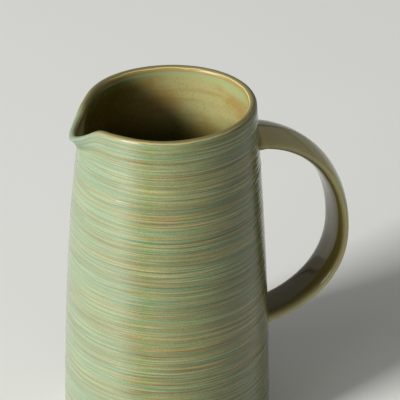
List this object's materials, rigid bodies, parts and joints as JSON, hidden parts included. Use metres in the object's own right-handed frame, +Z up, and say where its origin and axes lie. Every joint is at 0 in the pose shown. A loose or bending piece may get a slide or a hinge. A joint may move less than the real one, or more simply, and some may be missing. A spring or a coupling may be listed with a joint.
{
  "type": "ceramic pitcher",
  "caption": "Tapered stoneware pitcher with a pulled spout, a strap handle, throwing rings and a green glaze.",
  "frame": {"origin": "centre of the flat base, on the axis that the body was thrown round", "axes": "+Z up along the body's axis; +X toward the handle; -X toward the spout"},
  "size_m": [0.1865, 0.1326, 0.225],
  "materials": {
    "stoneware": "bare fired clay",
    "handle_clay": "bare fired clay",
    "joint_clay": "glazed over with the handle",
    "outer_glaze": "satin gloss",
    "rim_glaze": "satin gloss",
    "inner_glaze": "satin gloss",
    "handle_glaze": "satin gloss"
  },
  "bodies": {
    "root": {"pitcher_body": "stoneware", "handle": "handle_clay", "upper_handle_joint": "joint_clay", "lower_handle_joint": "joint_clay", "outer_glaze": "outer_glaze", "rim_glaze": "rim_glaze", "inner_glaze": "inner_glaze", "handle_glaze": "handle_glaze"}
  },
  "joints": []
}
